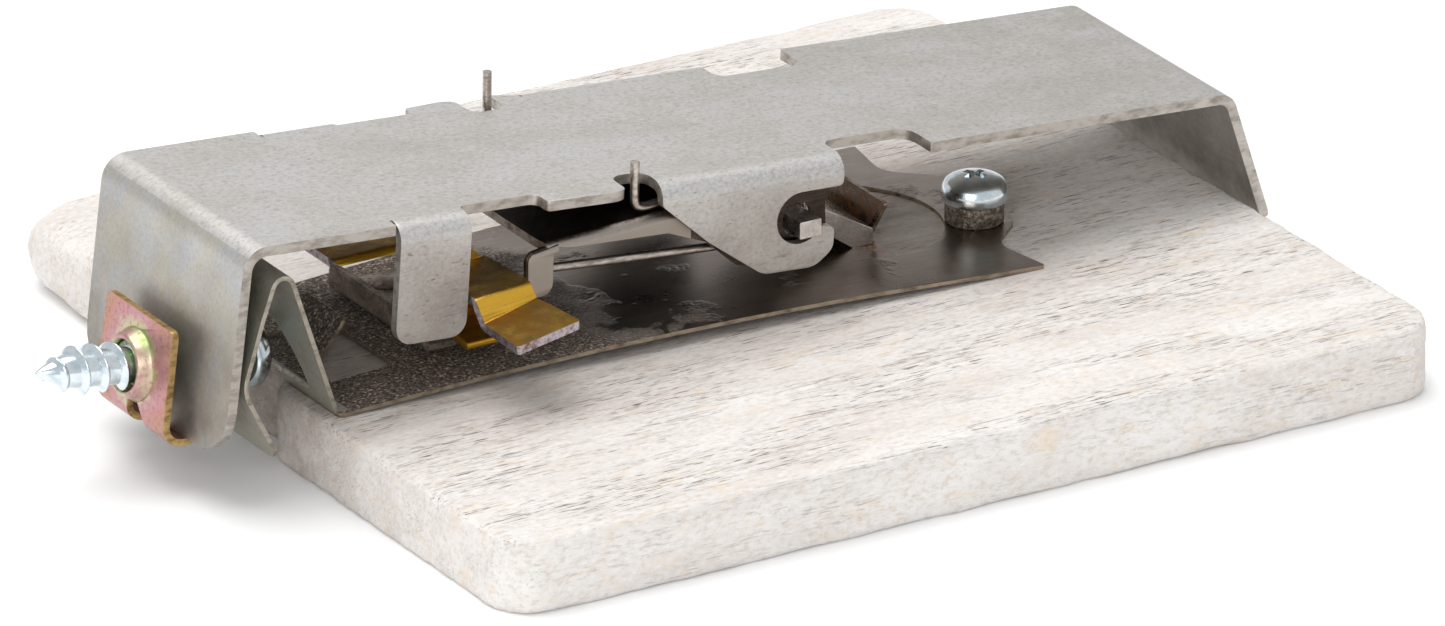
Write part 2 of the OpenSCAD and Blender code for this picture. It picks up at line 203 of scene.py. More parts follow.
# ---- Board ----
# A flat block of light wood, limewashed, with its grain along the board. It was sawn to size,
# sanded round at three corners, and worn hard at the fourth. Everything is screwed down on it.
def limed_wood():
    wood = Finish("limed_wood")
    broad = wood.noise(22, 7, 7, detail=4)
    colour = wood.ramp(broad, (0.34, rgb(216, 209, 204)), (0.5, rgb(223, 218, 214)),
                       (0.64, rgb(229, 225, 222)))
    # the sandy tooth of the limewash, with warm spots where it has rubbed thin
    sand = wood.noise(0.9, 0.5, 0.5, detail=6, rough=0.72)
    colour = wood.mix(wood.ramp(sand, (0.36, 0.55), (0.5, 0)), colour, rgb(200, 186, 172))
    colour = wood.mix(wood.ramp(sand, (0.54, 0), (0.66, 0.5)), colour, rgb(238, 234, 231))
    ochre = wood.noise(4.5, 2.2, 2.2, detail=6, rough=0.65, warp=0.4)
    colour = wood.mix(wood.ramp(ochre, (0.56, 0), (0.7, 0.42)), colour, rgb(226, 204, 172))
    # open pores: short dark dashes along the grain, gathered in drifts
    x, y = wood.axis("X"), wood.axis("Y")
    middle = wood.sum("SUBTRACT", 1.0, wood.sum("DIVIDE", wood.sum("ABSOLUTE", y), 62 * MM), clamp=True)
    drift = wood.sum("ADD", wood.noise(20, 5, 5, detail=3), wood.sum("MULTIPLY", middle, 0.16))
    drift = wood.ramp(drift, (0.5, 0.1), (0.66, 1))
    pores = wood.ramp(wood.noise(2.1, 0.17, 0.17, detail=2, rough=0.5), (0.6, 0), (0.68, 1))
    fine = wood.ramp(wood.noise(5.5, 0.1, 0.1, detail=2), (0.58, 0), (0.74, 0.6))
    dashes = wood.sum("MULTIPLY", wood.sum("MAXIMUM", pores, fine), drift)
    upward = wood.sum("GREATER_THAN", wood.axis("Z"), 7.0 * MM)
    dashes = wood.sum("MULTIPLY", dashes, wood.sum("MULTIPLY_ADD", upward, 0.75))
    colour = wood.mix(wood.sum("MULTIPLY", dashes, 0.8), colour, rgb(122, 108, 100))
    # grime drifted out from under the spring plate
    near_plate = wood.sum("SUBTRACT", 1.0, wood.sum("DIVIDE", wood.sum("ABSOLUTE", y), 30 * MM), clamp=True)
    inside = wood.add("MapRange", {"Value": x, "From Min": 44 * MM, "From Max": 18 * MM}).outputs["Result"]
    grime = wood.sum("MULTIPLY", wood.sum("MULTIPLY", near_plate, inside), wood.noise(6, 1.6, 1.6, detail=5))
    colour = wood.mix(wood.sum("MULTIPLY", grime, 1.3, clamp=True), colour, rgb(148, 134, 122))
    grain = wood.bump(sand, 0.22, 0.55, wood.bump(wood.noise(3, 0.25, 0.25, detail=3), 0.12, 0.4))
    relief = wood.bump(wood.sum("SUBTRACT", 1.0, dashes), 0.2, 0.6, grain)
    return wood.done(Base_Color=colour, Roughness=0.86, Normal=relief, Specular_IOR_Level=0.25)


def linked(name, bm, *materials, smooth=True):
    """Ends a mesh that was worked in millimetres: an object at the origin, in metres."""
    bm.transform(Matrix.Scale(MM, 4))
    for face in bm.faces:
        face.smooth = smooth
    mesh = bpy.data.meshes.new(name)
    bm.to_mesh(mesh)
    bm.free()
    made = bpy.data.objects.new(name, mesh)
    scene.collection.objects.link(made)
    for material in materials:
        mesh.materials.append(material)
    return made


BOARD_LOW, BOARD_HIGH = (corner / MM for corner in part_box("base_board"))
BOARD_T = BOARD_HIGH.z
CORNER_R, WORN_R = 4.5, 5.5
NOTCH_R, NOTCH_X = 5.2, BOARD_LOW.x - 2.5


def make_board():
    half = Vector((BOARD_HIGH.x, BOARD_HIGH.y))
    bm = bmesh.new()
    bmesh.ops.create_grid(bm, x_segments=116, y_segments=108, size=1)
    top = bmesh.ops.extrude_face_region(bm, geom=bm.faces[:], use_keep_orig=True)
    raised = [part for part in top["geom"] if isinstance(part, bmesh.types.BMVert)]
    bmesh.ops.translate(bm, verts=raised, vec=(0, 0, 1))
    uprights = [edge for edge in bm.edges if abs(edge.verts[0].co.z - edge.verts[1].co.z) > 0.5]
    bmesh.ops.subdivide_edges(bm, edges=uprights, cuts=11, use_grid_fill=True)
    bmesh.ops.recalc_face_normals(bm, faces=bm.faces[:])
    for vert in bm.verts:
        u, v, level = vert.co
        height = 0.5 - 0.5 * math.cos(math.pi * level)
        # the arrises are rubbed round, and chipped here and there
        wear = 0.62 + 0.35 * noise.noise(Vector((u * 9, v * 9, 2)))
        wear += 1.3 * max(0, noise.noise(Vector((u * 5, v * 5, 7))) - 0.3)
        # the far left corner is worn right round, top and bottom
        wear += 3.0 * max(0, 1 - (Vector((u, v)) - Vector((-1, 1))).length / 0.55)
        near_arris = min(1 - height, height) * BOARD_T
        inset = wear - math.sqrt(max(0, wear ** 2 - max(0, wear - near_arris) ** 2))
        over = inset / wear
        edge = half - Vector((inset, inset))
        x, y = u * edge.x, v * edge.y
        radius = (WORN_R if x < 0 < y else CORNER_R) - inset * 0.5
        a = (abs(x) - edge.x + radius) / radius
        b = (abs(y) - edge.y + radius) / radius
        if a > 0 and b > 0:
            x = math.copysign(edge.x - radius + radius * a * math.sqrt(1 - b * b / 2), x)
            y = math.copysign(edge.y - radius + radius * b * math.sqrt(1 - a * a / 2), y)
        # the notch that the clamp screw's head has worn in the back edge
        if abs(y) < 4.5:
            depth = NOTCH_X + math.sqrt(NOTCH_R ** 2 - y * y) - BOARD_LOW.x
            x += depth * max(0, 1 - (x - BOARD_LOW.x) / 9) ** 2
        z = height * BOARD_T
        rough = noise.noise(Vector((x * 0.35, y * 0.35, z * 0.9)))
        fibre = noise.noise(Vector((x * 0.3, y * 1.7, z * 2.3)))
        rim = max(abs(u), abs(v)) > 0.985
        if rim and 0 < level < 1:
            shrink = 0.14 + 0.16 * rough + 0.14 * fibre
            x -= math.copysign(shrink, x)
            y -= math.copysign(shrink, y)
        if level == 1:
            z -= 0.02 + 0.02 * fibre + (0.1 + 0.12 * rough if rim else 0)
        elif level > 0.5:
            z -= 0.05 * over
        vert.co = (x, y, z)
    board = linked("board", bm, limed_wood())
    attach(board, "base")
    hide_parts("base_board")


make_board()


# ---- Spring plate ----
# The trap's base: a strip of thin spring steel, bowed over the board and screwed down at its
# fish tail. A lug is folded up out of the half-round window and a tongue out of the slot.
def arc(x, y, radius, start, end, steps=10):
    """Points of an arc, angles in degrees."""
    angles = [math.radians(start + (end - start) * i / steps) for i in range(steps + 1)]
    return [(x + radius * math.cos(a), y + radius * math.sin(a)) for a in angles]


def rounded(*corners, steps=5):
    """Closed outline, or open line, with its (x, y, radius) corners rounded; (x, y) stays sharp."""
    line = []
    for i, corner in enumerate(corners):
        here = Vector(corner[:2])
        radius = corner[2] if len(corner) > 2 else 0
        if not radius:
            line.append(here)
            continue
        back = Vector(corners[i - 1][:2]) - here
        ahead = Vector(corners[(i + 1) % len(corners)][:2]) - here
        half = back.angle(ahead) / 2
        reach = min(radius / math.tan(half), back.length * 0.48, ahead.length * 0.48)
        radius = reach * math.tan(half)
        centre = here + (back.normalized() + ahead.normalized()).normalized() * radius / math.sin(half)
        start = here + back.normalized() * reach - centre
        end = here + ahead.normalized() * reach - centre
        sweep = math.atan2(start.cross(end), start.dot(end))
        for k in range(steps + 1):
            line.append(centre + Matrix.Rotation(sweep * k / steps, 2) @ start)
    return line


def blank(*outlines):
    """A flat sheet cut to the first outline, with the others cut out of it."""
    drawing = bpy.data.curves.new("blank", "CURVE")
    drawing.dimensions, drawing.fill_mode = "2D", "FRONT"
    for outline in outlines:
        spline = drawing.splines.new("POLY")
        spline.points.add(len(outline) - 1)
        for spot, (x, y) in zip(spline.points, outline):
            spot.co = (x, y, 0, 1)
        spline.use_cyclic_u = True
    sheet = bpy.data.objects.new("blank", drawing)
    scene.collection.objects.link(sheet)
    mesh = sheet.evaluated_get(bpy.context.evaluated_depsgraph_get()).to_mesh()
    bm = bmesh.new()
    bm.from_mesh(mesh)
    bpy.data.curves.remove(drawing)
    bmesh.ops.remove_doubles(bm, verts=bm.verts[:], dist=0.004)
    return bm


def cut(bm, place, across):
    bmesh.ops.bisect_plane(bm, geom=bm.verts[:] + bm.edges[:] + bm.faces[:], dist=1e-5,
                           plane_co=place, plane_no=across)


def fold(bm, place, across, turn, radius, picked, steps=6):
    """Folds the picked part of a flat sheet that lies past a line, up if turn is positive."""
    place, across = Vector(place), Vector(across)
    reach = radius * abs(turn)
    worn = bm.verts.layers.float.get("worn") or bm.verts.layers.float.new("worn")
    for k in range(steps + 1):
        cut(bm, place + across * (reach * k / steps), across)
    for vert in bm.verts:
        past = (vert.co - place).dot(across)
        if past > -1e-6 and picked(vert.co):
            angle = min(max(past, 0) / radius, abs(turn))
            rest = max(past - reach, 0)
            vert[worn] = max(vert[worn], math.sin(math.pi * angle / abs(turn)))
            lean, lift = math.copysign(angle, turn), vert.co.z
            run = radius * math.sin(angle) + rest * math.cos(turn) - lift * math.sin(lean)
            rise = radius * (1 - math.cos(angle)) + rest * math.sin(abs(turn))
            vert.co += across * (run - past)
            vert.co.z = math.copysign(rise, turn) + lift * math.cos(lean)


def station(line, x=0.0):
    """Length along a bent sheet's line at which its longest straight reaches x."""
    spans = [(b - a).length for a, b in zip(line, line[1:])]
    longest = spans.index(max(spans))
    return sum(spans[:longest]) + x - line[longest].x


def follow(bm, line, start=0.0):
    """Bends a sheet along a line in XZ: its own x, less start, becomes length along the line."""
    marks = [0.0]
    for a, b in zip(line, line[1:]):
        marks.append(marks[-1] + (b - a).length)
    for mark in marks[1:-1]:
        cut(bm, (mark - start, 0, 0), (1, 0, 0))
    for vert in bm.verts:
        length = vert.co.x + start
        i = max(k for k in range(len(line) - 1) if k == 0 or marks[k] <= length + 1e-6)
        along = (line[i + 1] - line[i]).normalized()
        spot = line[i] + along * (length - marks[i])
        vert.co = (spot.x - along.y * vert.co.z, vert.co.y, spot.y + along.x * vert.co.z)


def of_sheet(name, bm, thick, *materials, soft=0.12, place=None):
    """Gives a bent sheet its thickness, softens its cut edges and makes it a finished piece."""
    if place:
        bm.transform(place)
    if not bm.verts.layers.float.get("worn"):
        bm.verts.layers.float.new("worn")
    bmesh.ops.remove_doubles(bm, verts=bm.verts[:], dist=0.004)
    bmesh.ops.dissolve_degenerate(bm, dist=0.002, edges=bm.edges[:])
    bmesh.ops.recalc_face_normals(bm, faces=bm.faces[:])
    piece = linked(name, bm, *materials)
    wall = piece.modifiers.new("wall", "SOLIDIFY")
    wall.thickness, wall.offset = thick * MM, 0
    wall.material_offset_rim = 1 if len(materials) > 1 else 0
    return soften(piece, soft, 1 if len(materials) > 1 else -1)


def soften(piece, width, material=-1, segments=2):
    """Rounds a piece's sharp edges, and keeps its flats flat, as a finished mesh."""
    edge = piece.modifiers.new("edge", "BEVEL")
    edge.width, edge.segments, edge.profile = width * MM, segments, 0.5
    edge.limit_method, edge.angle_limit = "ANGLE", math.radians(42)
    edge.material = material
    even = piece.modifiers.new("even", "WEIGHTED_NORMAL")
    even.keep_sharp, even.weight = True, 60
    return settled(piece)


def settled(piece):
    """Applies a piece's modifiers."""
    shown = piece.evaluated_get(bpy.context.evaluated_depsgraph_get())
    mesh = bpy.data.meshes.new_from_object(shown)
    piece.modifiers.clear()
    piece.data = mesh
    return piece


def joined(first, *others):
    """Makes one piece of several."""
    bm = bmesh.new()
    for part in (first, *others):
        bm.from_mesh(part.data)
    bm.to_mesh(first.data)
    bm.free()
    for part in others:
        bpy.data.objects.remove(part)
    return first


def fitted(piece, body, slot, *nodes):
    """Says which body a piece moves with and which CAD nodes it stands for, which it hides; slot, the
    finish's name, is not used.
    """
    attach(piece, body)
    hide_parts(*nodes)
    return piece


def spring_steel():
    steel = Finish("spring_steel")
    stain = steel.noise(11, 7, 7, detail=5, warp=0.4)
    colour = steel.ramp(stain, (0.3, rgb(118, 104, 96)), (0.55, rgb(146, 134, 124)),
                        (0.75, rgb(164, 152, 138)))
    drawn = steel.noise(9, 0.12, 0.12, detail=3)
    colour = steel.mix(steel.ramp(drawn, (0.4, 0.25), (0.6, 0)), colour, rgb(84, 74, 68))
    # rust and old grease along the foot of the lug
    x, y = steel.axis("X"), steel.axis("Y")
    off = steel.sum("ABSOLUTE", steel.sum("SUBTRACT", x, 14.0 * MM))
    by_lug = steel.sum("SUBTRACT", 1.0, steel.sum("DIVIDE", off, 2.6 * MM), clamp=True)
    by_lug = steel.sum("MULTIPLY", by_lug, steel.sum("LESS_THAN", steel.sum("ABSOLUTE", y), 8 * MM))
    rust = steel.ramp(steel.noise(0.9, detail=6, rough=0.7), (0.42, 0), (0.56, 1))
    rust = steel.sum("MULTIPLY", rust, steel.sum("MULTIPLY", by_lug, 1.6, clamp=True))
    colour = steel.mix(rust, colour, rgb(124, 84, 48))
    # black grit lying on the half near the trigger, its palest specks painted glints
    west = steel.add("MapRange", {"Value": x, "From Min": -15 * MM, "From Max": -27 * MM}).outputs["Result"]
    patchy = steel.sum("ADD", steel.noise(7, detail=4), steel.sum("MULTIPLY", west, 0.62))
    dust = steel.ramp(patchy, (0.60, 0), (0.86, 1))
    grit = steel.noise(0.34, detail=3, rough=0.75)
    grains = steel.cells(0.42)
    # the grit's colours, with its lightest stops painted glints on the rough grains
    grey = steel.ramp(grit, (0.36, rgb(44, 36, 32)), (0.48, rgb(84, 72, 62)), (0.57, rgb(122, 108, 94)),
                      (0.66, rgb(214, 198, 178)))
    covered = steel.sum("MULTIPLY", dust, steel.ramp(steel.noise(0.5, detail=3), (0.30, 0.4), (0.48, 1)))
    colour = steel.mix(covered, colour, grey)
    metal = steel.sum("SUBTRACT", 1.0, steel.sum("MAXIMUM", covered, rust))
    gloss = steel.mix(covered, steel.ramp(stain, (0.3, 0.24), (0.7, 0.36)), (0.85, 0.85, 0.85, 1))
    height = steel.sum("MULTIPLY", covered, steel.sum("ADD", grit, grains))
    relief = steel.bump(height, 0.35, 0.9, steel.bump(drawn, 0.01, 0.35))
    return steel.done(Base_Color=colour, Metallic=metal, Roughness=gloss, Normal=relief)


def cut_edge(name, bright, dull, roughness=0.38, metallic=1.0):
    """Sheared or rubbed bare edge of a sheet."""
    edge = Finish(name)
    marks = edge.noise(1.6, 1.0, 0.7, detail=5)
    colour = edge.ramp(marks, (0.3, dull), (0.56, bright))
    nicks = edge.bump(marks, 0.02, 0.5)
    rough = edge.ramp(marks, (0.3, roughness + 0.12), (0.7, roughness))
    return edge.done(Base_Color=colour, Metallic=metallic, Roughness=rough, Normal=nicks)


PLATE_T = 0.4
BOW, ROOT_X, FLAT_X = 1.2, -50.4, 22.8
LUG_X, WINDOW_R = 14.4, 10.0
spring_finish = spring_steel()
spring_edge = cut_edge("spring_edge", rgb(172, 158, 140), rgb(112, 98, 84))


def bow_z(x):
    """Mid-height of the plate over the board's underside."""
    middle, half = (ROOT_X + FLAT_X) / 2, (FLAT_X - ROOT_X) / 2
    rise = BOW * max(0, 1 - ((x - middle) / half) ** 2)
    return BOARD_T + PLATE_T / 2 + 0.01 + rise


def make_spring_plate():
    edge = rounded((ROOT_X, 4.2, 0.4), (ROOT_X + 1.0, 3.5, 0.4), (ROOT_X + 1.0, -3.5, 0.4),
                   (ROOT_X, -4.2, 0.4), (ROOT_X, -13.9, 0.6), (26.1, -17.35, 0.25), (24.9, -10.6, 3.2),
                   (29.5, -6.6, 2.2),
                   (29.5, 6.6, 2.2), (24.9, 10.6, 3.2), (26.1, 17.35, 0.25), (ROOT_X, 13.9, 0.6))
    lug = rounded((LUG_X, -3.1), (LUG_X + 4.7, -5.9, 0.3), (LUG_X + 4.7, 6.6, 0.3), (LUG_X, 3.9))
    window = lug + [Vector(p) for p in arc(LUG_X, 0.9, WINDOW_R, 90, -90, 24)]
    tongue = rounded((-47.4, -3.2), (-41.6, -3.2, 0.5), (-41.6, 4.2, 0.5), (-47.4, 4.2))
    slot = tongue + rounded((-47.4, 5.6), (-40.6, 5.6, 0.8), (-40.6, -7.2, 0.8), (-47.4, -7.2))
    screw_hole = arc(26.2, -4.4, 1.65, 0, 345, 23)
    bm = blank(edge, window, slot, screw_hole)
    in_window = lambda co: co.x > LUG_X - 0.01 and (co - Vector((LUG_X, 0.9, 0))).length < 8.6
    fold(bm, (LUG_X, 0, 0), (1, 0, 0), math.radians(86), 0.6, in_window)
    in_slot = lambda co: -47.41 < co.x < -41.0 and -3.3 < co.y < 4.3
    fold(bm, (-47.4, 0, 0), (1, 0, 0), math.radians(50), 0.9, in_slot)
    for k in range(1, 24):
        cut(bm, (ROOT_X + (FLAT_X - ROOT_X) * k / 24, 0, 0), (1, 0, 0))
    for vert in bm.verts:
        vert.co.z += bow_z(vert.co.x)
    plate = of_sheet("spring_plate", bm, PLATE_T, spring_finish, spring_edge, soft=0.05)
    fitted(plate, "base", "spring_steel", "spring_plate")


make_spring_plate()


# ---- Hairpin spring ----
# The plate's far end, folded up and over into a hairpin that pushes the channel's back end up.
# It is the same spring steel, heat-tinted grey green, with a half-round window in its up leg.
def hairpin_steel():
    steel = Finish("hairpin_steel")
    tint = steel.noise(9, 9, 5, detail=4, warp=0.5)
    colour = steel.ramp(tint, (0.3, rgb(142, 136, 120)), (0.5, rgb(164, 160, 146)), (0.7, rgb(154, 162, 148)))
    drawn = steel.noise(0.15, 0.15, 5, detail=3)
    colour = steel.mix(steel.ramp(drawn, (0.42, 0.3), (0.6, 0)), colour, rgb(98, 92, 82))
    relief = steel.bump(drawn, 0.012, 0.4)
    rough = steel.ramp(tint, (0.3, 0.5), (0.7, 0.36))
    return steel.done(Base_Color=colour, Metallic=0.6, Roughness=rough, Normal=relief)


def make_hairpin():
    line = rounded((ROOT_X + 1.2, BOARD_T + 0.3), (ROOT_X, BOARD_T + 0.3, 0.5), (-56.1, 25.3, 1.25),
                   (-58.4, 18.9, 6), (-60.45, 12.3, 3.5), (-56.7, 4.6), steps=8)
    length = sum((b - a).length for a, b in zip(line, line[1:]))
    strip = rounded((0, -13.4), (length, -13.4, 1.4), (length, 13.4, 1.4), (0, 13.4))
    window = [Vector((2.3 + y, x)) for x, y in arc(0, 0, 9.4, 0, 180, 24)]
    window += [Vector(p) for p in ((2.3, -3.9), (0.4, -3.5), (0.4, 3.5), (2.3, 3.9))]
    hole = arc(length - 6.7, 0, 2.7, 0, 345, 23)
    bm = blank(strip, window, hole)
    follow(bm, line)
    edge = cut_edge("hairpin_edge", rgb(176, 170, 158), rgb(128, 120, 106))
    piece = of_sheet("hairpin_spring", bm, 0.45, hairpin_steel(), edge, soft=0.06)
    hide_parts("hairpin_spring")
    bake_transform(piece)


make_hairpin()


# ---- Jaw channel ----
# One blank of zinc plated sheet steel, folded into a shallow channel: two ears a side, a back
# wall and a splayed mouth wall. Its hook ears hang on the trunnion bar.
def zinc_sheet():
    zinc = Finish("zinced_sheet")
    cloud = zinc.noise(13, 8, 8, detail=5, warp=0.3)
    colour = zinc.ramp(cloud, (0.32, rgb(188, 183, 178)), (0.5, rgb(199, 195, 191)),
                       (0.66, rgb(207, 204, 201)))
    speck = zinc.noise(0.55, 0.4, 0.4, detail=6, rough=0.75)
    colour = zinc.mix(zinc.ramp(speck, (0.36, 0.55), (0.5, 0)), colour, rgb(158, 152, 145))
    colour = zinc.mix(zinc.ramp(speck, (0.54, 0), (0.66, 0.5)), colour, rgb(218, 216, 214))
    scratch = zinc.ramp(zinc.noise(3.4, 0.11, 0.3, detail=2), (0.63, 0), (0.74, 0.4))
    flecks = zinc.ramp(zinc.noise(0.9, 0.15, 0.3, detail=2), (0.65, 0), (0.74, 0.7))
    marks = zinc.sum("MAXIMUM", scratch, flecks)
    colour = zinc.mix(marks, colour, rgb(116, 108, 101))
    # faint blue and straw passivation colours on the back wall, which also keep it darker than the top as
    # painted shade
    wall = zinc.sum("LESS_THAN", zinc.axis("X"), -59.9 * MM)
    tint = zinc.ramp(zinc.noise(5, detail=4, warp=0.8), (0.4, rgb(158, 162, 170)), (0.5, rgb(164, 161, 154)),
                     (0.62, rgb(168, 162, 138)))
    colour = zinc.mix(zinc.sum("MULTIPLY", wall, 0.45), colour, tint)
    # painted shade: the back wall and the ears grow darker towards the foot, in noisy blotches
    foot = zinc.add("MapRange", {"Value": zinc.axis("Z"), "From Min": 23.5 * MM,
                                 "From Max": 9 * MM}).outputs["Result"]
    foot_shade_blotch = zinc.sum("MULTIPLY", zinc.noise(3, detail=5), 1.35)
    colour = zinc.mix(zinc.sum("MULTIPLY", foot, foot_shade_blotch, clamp=True), colour, rgb(132, 124, 112))
    worn = zinc.attribute("worn")
    rubbed = zinc.ramp(zinc.noise(0.45, 0.3, 0.3, detail=5, rough=0.75), (0.4, 0), (0.6, 1))
    rubbed = zinc.sum("MULTIPLY", zinc.sum("MULTIPLY", worn, rubbed), 0.7)
    colour = zinc.mix(rubbed, colour, rgb(228, 227, 226))
    rough = zinc.ramp(cloud, (0.3, 0.54), (0.7, 0.44))
    rough = zinc.mix(rubbed, rough, (0.28, 0.28, 0.28, 1))
    height = zinc.sum("SUBTRACT", speck, zinc.sum("MULTIPLY", marks, 0.8))
    wave = zinc.bump(zinc.noise(24, detail=2), 0.5, 0.25)
    relief = zinc.bump(height, 0.035, 0.6, wave)
    return zinc.done(Base_Color=colour, Metallic=0.88, Roughness=rough, Normal=relief)


JAW_T = 1.0
JAW_TILT = math.radians(3.8)
PIVOT = Vector(next(joint for joint in frame["joints"] if joint["name"] == "jaw_pivot")["pos_m"]) / MM
jaw_place = Matrix.Translation(PIVOT) @ Matrix.Rotation(JAW_TILT, 4, "Y")
jaw_finish = zinc_sheet()
jaw_edge = cut_edge("zinc_cut_edge", rgb(186, 180, 173), rgb(146, 138, 129), 0.4)

# the channel's bent line, in a frame with the pivot at its origin, and its folds
WALL_LEAN = math.radians(3.2)
JAW_LINE = rounded((-62.3, -15.07), (-61.13, 5.83, 2.0), (48.47, 5.83, 1.7), (54.16, -7.91), steps=8)
EAR_FOLD, EAR_R = 12.1, 1.4
TAB_DROP = EAR_FOLD + EAR_R * math.pi / 2 + 5.83 - EAR_R
EAR_SPANS = ((-44.95, -37.1), (-16.45, 4.3))


def jaw_side(back_end, mouth_end, notch, slot_x):
    """One side of the channel's blank, from the back wall to the mouth wall: (x, distance out, radius)."""
    back_ear = [(-45.2, 13.5, 0.15), (-45.2, 12.0), (-44.9, 12.0), (-44.9, TAB_DROP + 5.7, 1.7),
                (-37.2, TAB_DROP + 5.7, 1.7), (-37.2, notch, 0.7), (-28.6, notch, 1.0)]
    bulge = [(-28.6, 13.45, 0.4), (slot_x - 4.6, 13.75, 3), (slot_x - 3.4, 13.3, 0.8)]
    wire_slot = [(slot_x - 3.3, 9.9, 1.3), (slot_x + 0.5, 9.9, 1.4)]
    if slot_x < -18:
        wire_slot += [(slot_x + 0.5, 13.4, 0.5), (-16.4, 13.4), (-16.4, 12.0), (-16.2, 12.0)]
    hook = [(-16.1, TAB_DROP - 4.2, 0.9), (-10.6, TAB_DROP + 0.3, 6), (-4.3, TAB_DROP + 4.45, 2.6),
            (1.5, TAB_DROP + 4.5, 2.4), (3.5, TAB_DROP + 2.9, 1.5), (3.45, TAB_DROP + 0.75, 0.4),
            (2.25, TAB_DROP + 0.4, 0.2)]
    hook += arc(-0.45, TAB_DROP - 0.77, 2.65, 26, 270, 20)
    front = [(4.2, TAB_DROP - 3.45, 0.5), (4.2, 9.4, 1.3), (14.0, 9.4, 1.7), (14.0, 13.8, 0.25)]
    return [(back_end, 13.4, 5), *back_ear, *bulge, *wire_slot, *hook, *front, (mouth_end, 13.4, 1.4)]


def make_jaw():
    start = station(JAW_LINE)
    length = sum((b - a).length for a, b in zip(JAW_LINE, JAW_LINE[1:]))
    near = jaw_side(-start, length - start, 11.2, -16.5)
    far = jaw_side(-start, length - start, 12.0, -19.7)
    near = [(x, -out, *radius) for x, out, *radius in near]
    outline = rounded(*near, *reversed(far))
    clamp_hole = arc(5.4 - start, 0, 2.6, 0, 345, 23)
    bm = blank(outline, clamp_hole)
    on_ear = lambda co: any(low < co.x < high for low, high in EAR_SPANS)
    for side in (-1, 1):
        past = lambda co: on_ear(co) and co.y * side > EAR_FOLD - 0.01
        fold(bm, (0, side * EAR_FOLD, 0), (0, side, 0), -math.pi / 2, EAR_R, past)
    follow(bm, JAW_LINE, start)
    jaw = of_sheet("jaw_channel", bm, JAW_T, jaw_finish, jaw_edge, soft=0.16, place=jaw_place)
    fitted(jaw, "jaw", "zinced_sheet", "jaw_channel")


make_jaw()


# ---- Trunnion bar ----
# A square bar whose ends stick out through the hook ears, forged in one with a blade that is
# held by the lug. Bright steel, its end faces burnished by the ears.
def bright_steel():
    bright = Finish("bright_steel")
    mottle = bright.noise(2.2, detail=5)
    colour = bright.ramp(mottle, (0.35, rgb(176, 168, 160)), (0.6, rgb(216, 212, 208)))
    drawn = bright.noise(0.12, 4, 0.12, detail=3)
    colour = bright.mix(bright.ramp(drawn, (0.4, 0.3), (0.6, 0)), colour, rgb(120, 112, 106))
    relief = bright.bump(bright.noise(0.3, detail=4), 0.02, 0.5, bright.bump(drawn, 0.01, 0.5))
    rough = bright.ramp(mottle, (0.3, 0.4), (0.7, 0.2))
    return bright.done(Base_Color=colour, Metallic=1.0, Roughness=rough, Normal=relief)


bright_finish = bright_steel()


def slab(name, outline, plane, low, high, material, soft=0.1):
    """A plate cut to an outline drawn in the XZ or YZ plane, between two distances along the third axis."""
    bm = blank(outline)
    top = bmesh.ops.extrude_face_region(bm, geom=bm.faces[:], use_keep_orig=True)
    raised = [part for part in top["geom"] if isinstance(part, bmesh.types.BMVert)]
    bmesh.ops.translate(bm, verts=raised, vec=(0, 0, high - low))
    bmesh.ops.translate(bm, verts=bm.verts[:], vec=(0, 0, low))
    turns = {"XZ": Matrix(((1, 0, 0, 0), (0, 0, 1, 0), (0, 1, 0, 0), (0, 0, 0, 1))),
             "YZ": Matrix(((0, 0, 1, 0), (1, 0, 0, 0), (0, 1, 0, 0), (0, 0, 0, 1)))}
    bm.transform(turns[plane])
    bmesh.ops.recalc_face_normals(bm, faces=bm.faces[:])
    return soften(linked(name, bm, material), soft)


def make_trunnion_bar():
    low, high = (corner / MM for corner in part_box("trunnion_bar"))
    x, z = PIVOT.x, PIVOT.z
    section = rounded((x - 1.2, z - 0.87, 0.15), (x + 1.2, z - 0.87, 0.15), (x + 1.2, z + 0.87, 0.15),
                      (x - 1.2, z + 0.87, 0.15))
    bar = slab("trunnion_bar", section, "XZ", low.y, high.y, bright_finish, 0.28)
    foot = bow_z(LUG_X) + PLATE_T / 2
    blade = slab("blade", [(x + 0.9, z + 0.8), (x + 0.9, z - 0.8), (11.6, foot + 0.1), (13.9, foot + 0.1),
                           (13.9, 10.2)], "XZ", -5.6, 5.6, bright_finish)
    fitted(joined(bar, blade), "base", "bright_steel", "trunnion_bar")


make_trunnion_bar()


# ---- Hold-down screw and spacer ----
# A zinc plated pan head screw with a cross recess, driven through a turned spacer and the
# plate's tail into the board. Grease and grit have gathered under its head.
def blue_zinc():
    zinc = Finish("blue_white_zinc")
    cloud = zinc.noise(1.6, detail=4, warp=0.4)
    colour = zinc.ramp(cloud, (0.35, rgb(196, 212, 220)), (0.55, rgb(226, 234, 238)),
                       (0.7, rgb(212, 220, 226)))
    relief = zinc.bump(zinc.noise(0.35, detail=4), 0.015, 0.5)
    return zinc.done(Base_Color=colour, Metallic=1.0, Roughness=zinc.ramp(cloud, (0.3, 0.24), (0.7, 0.13)),
                     Normal=relief)


def grimy_steel():
    grimy = Finish("grimy_steel")
    colour = grimy.ramp(grimy.noise(0.6, detail=6, rough=0.7), (0.36, rgb(64, 54, 46)),
                        (0.5, rgb(104, 94, 82)),
                        (0.66, rgb(158, 148, 134)))
    grit = grimy.ramp(grimy.cells(0.35), (0.1, 1), (0.5, 0))
    return grimy.done(Base_Color=colour, Metallic=0.55, Roughness=0.55, Normal=grimy.bump(grit, 0.12, 0.7))


